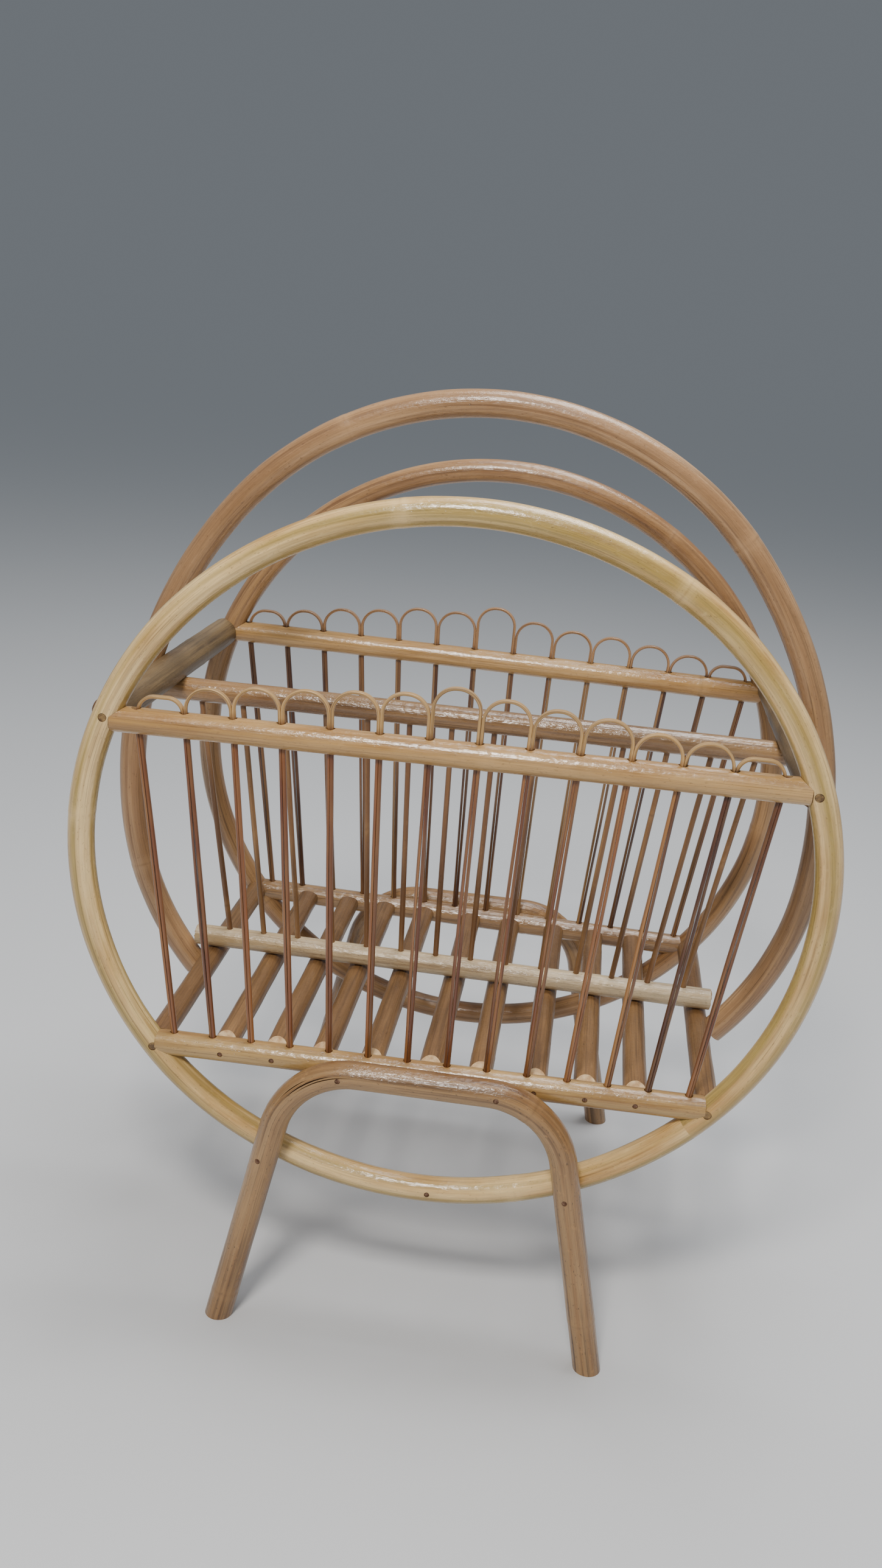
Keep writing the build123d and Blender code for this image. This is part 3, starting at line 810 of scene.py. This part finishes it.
bar_tubes = {}
for hand, name in ((-1, "left"), (1, "right")):
    centre = middle(f"{name}_cross_bar")
    radius = half_size(f"{name}_cross_bar").x - 0.05 * MM
    line = straight_points((centre.x, -CROSS_REACH, centre.z), (centre.x, CROSS_REACH, centre.z))
    bar_tubes[name] = Cane(line, ACROSS, radius, 50 + hand, rings=(0.16,))

slat_names = [f"slat_{n:02d}" for n in range(1, 12)]
slat_rng = random.Random(5)
slat_tubes = {}
for i, node in enumerate(slat_names):
    marks = [slat_rng.uniform(0.02, 0.21)]
    radius = half_size(node).x - 0.05 * MM
    slat_tubes[node] = Cane(slat_points(node), ACROSS, radius, 60 + i, rings=marks, rough=1.3)

leg_tubes = {}
for row, side in ROWS:
    marks = [0.05 + 0.02 * side, 0.31, 0.45]
    leg_tubes[row] = Cane(leg_points(side), DEPTH, LEG_RADIUS - 0.25 * MM, 80 + side, rings=marks, rough=1.3)


# ---- cutting
def as_cutter(cane):
    return cane.mesh("cutter", grow=CUT_GAP, material_index=1)


def row_cutters(tubes, ending=""):
    """Cutters in the shape of the front and the rear cane of a kind."""
    return [as_cutter(tubes[row + ending]) for row, _ in ROWS]


def nail_hole(point, direction):
    """The pit around a nail's head, and the start of its hole."""
    outline = (
        (-OUTSIDE, NAIL_MOUTH), (NAIL_SUNK + 1 * MM, NAIL_MOUTH),
        (NAIL_SUNK + 1.2 * MM, NAIL_SHANK), (NAIL_SUNK + 5 * MM, NAIL_SHANK),
    )
    return lathe("nail_hole", point, direction, outline)


def drill(start, end, radius, sides=20):
    run = np.array(end) - np.array(start)
    return lathe("drill", start, run, ((0, radius), (float(np.linalg.norm(run)), radius)), sides)


def solids_of(node):
    """The low and high corners of a CAD node's separate solids, such as its nails."""
    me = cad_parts[node].data
    groups = {}
    parent = list(range(len(me.vertices)))

    def find(v):
        while parent[v] != v:
            parent[v] = parent[parent[v]]
            v = parent[v]
        return v

    keys = {}
    for v in me.vertices:
        key = tuple(round(c * 1e6) for c in v.co)
        if key in keys:
            parent[find(v.index)] = find(keys[key])
        else:
            keys[key] = v.index
    for edge in me.edges:
        a, b = find(edge.vertices[0]), find(edge.vertices[1])
        parent[a] = b
    for v in me.vertices:
        groups.setdefault(find(v.index), []).append(np.array(v.co))
    return [(np.min(group, 0), np.max(group, 0)) for group in groups.values()]


@functools.lru_cache(maxsize=None)
def heads(node):
    """Where each nail or screw of a CAD node enters its pole: outer point, inward direction."""
    found = []
    for low, high in solids_of(node):
        centre, size = (low + high) / 2, high - low
        axis = int(np.argmax(size))
        inward = np.zeros(3)
        inward[axis] = -math.copysign(1, centre[axis])
        point = centre.copy()
        point[axis] = high[axis] if centre[axis] > 0 else low[axis]
        found.append((point - inward * NAIL_SUNK, inward))
    return found


def nail_holes(node, side=0):
    """The holes of a CAD node's nails, all or only those in front (-1) or behind (1)."""
    return [nail_hole(point, inward) for point, inward in heads(node) if point[1] * side >= 0]


def plug_hole(point, inward):
    """A plugged screw's counterbore in a hoop, where its plug sits."""
    skin = point.copy()
    skin[1] = -inward[1] * (ROW_SPACING + half_size("front_hoop").y)
    outline = (
        (-OUTSIDE, PLUG_HOLE), (PLUG_DEPTH, PLUG_HOLE),
        (PLUG_DEPTH + 0.2 * MM, SCREW_SHANK), (8 * MM, SCREW_SHANK),
    )
    return lathe("plug_hole", skin, inward, outline, 28)


def carve(node, cane, cutters, skin, core, slot, **shape):
    """A cane less its cutters, shown as a piece of the rack."""
    show(node, cut(cane.mesh(node, **shape), cutters, (skin, core)), ())


# hoops
for row, side in ROWS:
    cutters = [plug_hole(point, inward) for point, inward in heads("hoop_screws") if point[1] * side > 0]
    cutters += nail_holes("scarf_nails", side)
    skin, slot = (pale_hoop, "pale_hoop_cane") if side < 0 else (tan_hoop, "tan_hoop_cane")
    carve(f"{row}_hoop", hoop_tubes[row], cutters, skin, dark_core, slot)

# the arch
cutters = [as_cutter(slat_tubes[node]) for node in END_SLATS] + nail_holes("arch_nails")
carve("middle_arch", arch_tube, cutters, arch_skin, pale_core, "arch_cane")

# front and rear rails
for row, side in ROWS:
    top, bottom = f"{row}_top_rail", f"{row}_bottom_rail"
    top_holes, low_holes = [], []
    for i in range(ROD_COUNT):
        low, high, upward = stick_line(row, i)
        top_holes.append(drill(high - upward * DRILL_OVER, high + upward * DRILL_OVER, TOP_HOLE))
        start = low + upward * (rail_tubes[bottom].radius - LOW_HOLE_DEPTH)
        low_holes.append(drill(start, low + upward * DRILL_OVER, LOW_HOLE))
    cutters = [as_cutter(hoop_tubes[row]), joined("holes", top_holes)]
    carve(top, rail_tubes[top], cutters, top_rail_skin, dark_core, "top_rail_cane")
    mouths = nail_holes("slat_nails", side)
    cutters = [as_cutter(hoop_tubes[row]), joined("holes", low_holes), joined("mouths", mouths)]
    skin = low_rail_skin if side < 0 else brown_rail_skin
    carve(bottom, rail_tubes[bottom], cutters, skin, dark_core, "low_rail_cane")

# middle rails
top, bottom = rail_tubes["middle_top_rail"], rail_tubes["middle_bottom_rail"]
top_holes, low_holes = [], []
for i in range(ROD_COUNT):
    low, high, upward = stick_line("middle", i)
    end = high + upward * (ROD_DEPTH - top.radius + CORE_ROOM)
    top_holes.append(drill(high - upward * DRILL_OVER, end, ROD_HOLE))
    start = low + upward * (bottom.radius - ROD_DEPTH - CORE_ROOM)
    low_holes.append(drill(start, low + upward * DRILL_OVER, ROD_HOLE))
cutters = [as_cutter(cane) for cane in (arch_tube, bar_tubes["left"], bar_tubes["right"])]
cutters.append(joined("holes", top_holes))
carve("middle_top_rail", top, cutters, brown_rail_skin, dark_core, "top_rail_cane")
cutters = [joined("holes", low_holes)]
carve("middle_bottom_rail", bottom, cutters, peeled_skin, pale_core, "peeled_cane", jagged=0.8 * MM)

# cross bars
for name in ("left", "right"):
    cutters = row_cutters(hoop_tubes) + row_cutters(rail_tubes, "_top_rail") + [as_cutter(arch_tube)]
    carve(f"{name}_cross_bar", bar_tubes[name], cutters, bar_skin, dark_core, "bar_cane")

# slats
for node in slat_names:
    slat = slat_tubes[node]
    cutters = row_cutters(rail_tubes, "_bottom_rail")
    if node in END_SLATS:
        cutters += row_cutters(hoop_tubes)
    else:
        for _, side in ROWS:
            top = np.interp(side * BEVEL_Y, slat.points[:, 1], slat.points[:, 2]) + slat.radius
            tilt = math.radians(BEVEL)
            out = np.array((0, side * math.sin(tilt), math.cos(tilt)))
            down = np.array((0, side * math.cos(tilt), -math.sin(tilt)))
            size = 40 * MM
            centre = np.array((slat.points[0][0], side * BEVEL_Y, top)) + out * size / 2
            cutters.append(slab("bevel", centre, ACROSS, down, out, (size, size, size)))
    carve(node, slat, cutters, slat_skin, pale_core, "slat_cane")

# legs
for row, side in ROWS:
    leg = leg_tubes[row]
    thick = 50 * MM
    centre = (0, side * LEG_FOOT_FORWARD, -thick / 2)
    below = slab("floor", centre, ACROSS, DEPTH, UP, (0.4, 0.1, thick))
    cutters = [below, as_cutter(hoop_tubes[row]), as_cutter(rail_tubes[f"{row}_bottom_rail"])]
    cutters += nail_holes("leg_nails", side)
    if side < 0:
        # cracks along the outside of the front leg's left bend: how far on from it
        # each lies, half its length, its turn about the pole in degrees, its width
        away = np.abs(leg.points[:, 0] + 62 * MM) + (leg.points[:, 2] < 140 * MM)
        crack = leg.distance[int(np.argmin(away))]
        facing, depth = (0.1, -1, 0.35), 1.5 * MM
        for shift, reach, turn, width in ((-2, 15, -14, 1.1), (7, 18, -2, 0.8), (-10, 10, -30, 0.7)):
            start, end = crack + shift * MM - reach * MM, crack + shift * MM + reach * MM
            cutters.append(groove(leg, start, end, facing, turn, turn + 8, width * MM, depth))
    carve(f"{row}_leg", leg, cutters, leg_skin, dark_core, "leg_cane")

# middle rods
rods = []
for i in range(ROD_COUNT):
    low, high, upward = stick_line("middle", i)
    foot = low + upward * (rail_tubes["middle_bottom_rail"].radius - ROD_DEPTH)
    head = high + upward * (ROD_DEPTH - rail_tubes["middle_top_rail"].radius)
    marks = [slat_rng.uniform(0.01, 0.15)]
    rod = Cane(straight_points(foot, head), DEPTH, ROD_RADIUS, 200 + i, rings=marks, rough=3.0, sides=16)
    rods.append(rod.mesh("rod"))
show("middle_rods", joined("middle_rods", rods), (rod_skin, pale_core))


# ---- looped strips
def rounded(corners, radius, straight_step, arc_step):
    """Points of a path with its inner corners rounded."""
    def straight(start, end):
        steps = max(1, round(np.linalg.norm(end - start) / straight_step))
        return [start + (end - start) * k / steps for k in range(1, steps + 1)]

    corners = [np.array(c, float) for c in corners]
    points = [corners[0]]
    for before, corner, after in zip(corners, corners[1:], corners[2:]):
        into, out = unit(corner - before), unit(after - corner)
        turn = math.acos(float(np.clip(into @ out, -1, 1)))
        trim = radius * math.tan(turn / 2)
        start, end = corner - into * trim, corner + out * trim
        points += straight(points[-1], start)
        centre = start + unit(end - start - into * ((end - start) @ into)) * radius
        count = max(4, round(radius * turn / arc_step))
        first = start - centre
        for k in range(1, count + 1):
            angle = turn * k / count
            points.append(centre + first * math.cos(angle) + into * radius * math.sin(angle))
    points += straight(points[-1], corners[-1])
    return np.array(points)


def half_strip(name, points, distance, out, loop, rng):
    """A half-round strip along some points.  Its flat side faces out.

    The values of loop are 1 where the strip is in its loop, and 0 elsewhere."""
    depth = np.array(DEPTH, float)
    radius = STRIP_RADIUS * rng.uniform(0.93, 0.99)
    outline = [(-0.06 * MM, v * radius) for v in (-0.86, -0.45, 0, 0.45, 0.86)]
    turns = np.radians(np.linspace(9, 171, 13))
    outline += [(-radius * math.sin(t), radius * math.cos(t)) for t in turns]
    outline = np.array(outline)
    wave = 1 + 0.02 * np.sin(distance / (7 * MM) + rng.uniform(0, 6)) * rng.uniform(0.3, 1)
    wave = np.minimum(wave, 1.005)
    co = points[:, None, :] + out[:, None, :] * outline[None, :, :1] * wave[:, None, None]
    co = co + depth * outline[None, :, 1:] * wave[:, None, None]
    rings, sides = len(points), len(outline)
    me = bpy.data.meshes.new(name)
    me.from_pydata(co.reshape(-1, 3).tolist(), [], tube_faces(rings, sides))
    offset = rng.uniform(0, 60)
    columns = np.broadcast_arrays((distance + offset)[:, None], loop[:, None] + np.zeros(sides))
    around = np.broadcast_to(outline, (rings, sides, 2))
    write_uv(me, per_corner(me, np.stack(columns, -1)), per_corner(me, around))
    me.shade_smooth()
    me.set_sharp_from_angle(angle=SHARP)
    return me


def strip_mesh(node, row, i):
    """A looped strip: up from one hole, over, and down into the next, flat side outward."""
    rng = np.random.default_rng(1000 + i + 50 * (row == "rear"))
    left_low, left_high, left_up = stick_line(row, i)
    right_low, right_high, right_up = stick_line(row, i + 1)
    rail = half_size(f"{row}_top_rail").y
    crown = box(node)[1].z - (left_high[2] + right_high[2]) / 2
    foot = half_size(f"{row}_bottom_rail").y - LOW_HOLE_DEPTH + END_ROOM
    left_corner, right_corner = left_high + left_up * crown, right_high + right_up * crown
    bend = min(0.95 * np.linalg.norm(right_corner - left_corner) / 2, crown - rail + 1.5 * MM)
    corners = (left_low + left_up * foot, left_corner, right_corner, right_low + right_up * foot)
    points = rounded(corners, bend, 3 * MM, 0.9 * MM)
    distance = distances(points)
    depth = np.array(DEPTH, float)
    out = unit(np.cross(tangents(points), depth))
    # between its holes each leg bows a little, away from the strip beside it
    low_z, high_z = left_low[2] + rail, left_high[2] - rail
    share = np.clip((points[:, 2] - low_z) / (high_z - low_z), 0, 1)
    on_left = distance < distance[-1] / 2
    bow = np.where(on_left, rng.uniform(0, STRIP_BOW), rng.uniform(0, STRIP_BOW))
    bow = bow * np.sin(math.pi * share) ** 2
    sway = np.where(on_left, rng.uniform(-STRIP_BOW, STRIP_BOW), rng.uniform(-STRIP_BOW, STRIP_BOW))
    sway = sway * np.sin(math.pi * share)
    points = points - out * bow[:, None] + depth * sway[:, None]
    loop = np.clip((points[:, 2] - (left_high[2] + rail - 1 * MM)) / (4 * MM), 0, 1)
    return half_strip(node, points, distance, out, loop, rng)


for row, skin in (("front", strips), ("rear", rear_strips)):
    for i in range(ROD_COUNT - 1):
        node = f"{row}_strip_{i + 1:02d}"
        show(node, strip_mesh(node, row, i), (skin,))
    # a straight half strip fills out the first and the last hole of the row
    fillers = []
    for i, toward in ((0, 1), (ROD_COUNT - 1, -1)):
        low, high, upward = stick_line(row, i)
        foot = low + upward * (half_size(f"{row}_bottom_rail").y - LOW_HOLE_DEPTH + END_ROOM)
        head = high + upward * (half_size(f"{row}_top_rail").y - FILLER_SUNK)
        points = straight_points(foot, head)
        distance = np.linalg.norm(points - points[0], axis=1)
        out = np.repeat(unit(np.cross(upward, DEPTH) * -toward)[None], len(points), axis=0)
        rng = np.random.default_rng(2000 + i + 50 * (row == "rear"))
        fillers.append(half_strip("filler", points, distance, out, np.zeros(len(points)), rng))
    show(f"{row}_end_fillers", joined("end_fillers", fillers), (skin,))

# small fittings keep their CAD shapes
for node, material in (
    ("hoop_plugs", plug_wood), ("hoop_screws", steel), ("slat_nails", steel),
    ("leg_nails", steel), ("arch_nails", steel), ("scarf_nails", steel),
):
    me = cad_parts[node].data
    me.materials.clear()
    me.materials.append(material)

# ---- stage
FLOOR_TONE = 0.62
FLOOR = 30.0                  # half the floor's width
floor_shader = Shader("plain_floor")
floor_shader.finish(Base_Color=(FLOOR_TONE,) * 3 + (1,), Roughness=1.0, Specular_IOR_Level=0.0)
floor_mesh = bpy.data.meshes.new("floor")
floor_mesh.from_pydata(
    [(-FLOOR, -FLOOR, 0), (FLOOR, -FLOOR, 0), (FLOOR, FLOOR, 0), (-FLOOR, FLOOR, 0)], [], [(0, 1, 2, 3)]
)
floor_mesh.materials.append(floor_shader.material)
add_object("floor", floor_mesh)

# the sky that lights the rack is brighter than the backdrop that is seen, which
# has the tone of the far floor, so that no horizon shows
SKY = (0.80, 0.88, 0.97, 1)
SKY_STRENGTH = 0.31
world = bpy.data.worlds.new("studio")
world.use_nodes = True
tree = world.node_tree
tree.nodes.clear()
rays = tree.nodes.new("ShaderNodeLightPath")
choice = tree.nodes.new("ShaderNodeMixShader")
output = tree.nodes.new("ShaderNodeOutputWorld")
tree.links.new(rays.outputs["Is Camera Ray"], choice.inputs[0])
for socket, strength in ((1, SKY_STRENGTH), (2, SKY_STRENGTH * FLOOR_TONE)):
    background = tree.nodes.new("ShaderNodeBackground")
    background.inputs["Color"].default_value = SKY
    background.inputs["Strength"].default_value = strength
    tree.links.new(background.outputs[0], choice.inputs[socket])
tree.links.new(choice.outputs[0], output.inputs[0])
bpy.context.scene.world = world


LIGHT_AIM = Vector((0, 0, 0.28))


def softbox(name, place, size, power, colour):
    """A square area light that faces the middle of the rack."""
    light = bpy.data.lights.new(name, "AREA")
    light.shape = "RECTANGLE"
    light.size = light.size_y = size
    light.energy = power
    light.color = colour
    lamp = add_object(name, light)
    lamp.location = place
    lamp.rotation_euler = (LIGHT_AIM - Vector(place)).to_track_quat("-Z", "Y").to_euler()


softbox("key", place=(-0.15, -1.1, 1.5), size=0.3, power=22, colour=(1.0, 0.97, 0.93))
softbox("top", place=(0.3, 0.3, 2.1), size=1.0, power=36, colour=(0.97, 0.98, 1.0))

# ---- camera
CAMERA_PLACE = Vector((0.0646, -0.8142, 0.5659))
CAMERA_YAW, CAMERA_PITCH, CAMERA_ROLL = -0.1, -0.3121, 0.0832
camera_data = bpy.data.cameras.new("camera")
camera_data.sensor_width = 36.0
camera_data.lens = 31.72
camera_data.clip_start = 0.01
camera = add_object("camera", camera_data)
forward = Vector((
    math.sin(CAMERA_YAW) * math.cos(CAMERA_PITCH),
    math.cos(CAMERA_YAW) * math.cos(CAMERA_PITCH),
    math.sin(CAMERA_PITCH),
))
level = Vector((math.cos(CAMERA_YAW), -math.sin(CAMERA_YAW), 0))
above = level.cross(forward)
c, s = math.cos(CAMERA_ROLL), math.sin(CAMERA_ROLL)
right = c * level + s * above
up = -s * level + c * above
turned = Matrix((right, up, -forward)).transposed().to_4x4()
camera.matrix_world = Matrix.Translation(CAMERA_PLACE) @ turned
bpy.context.scene.camera = camera
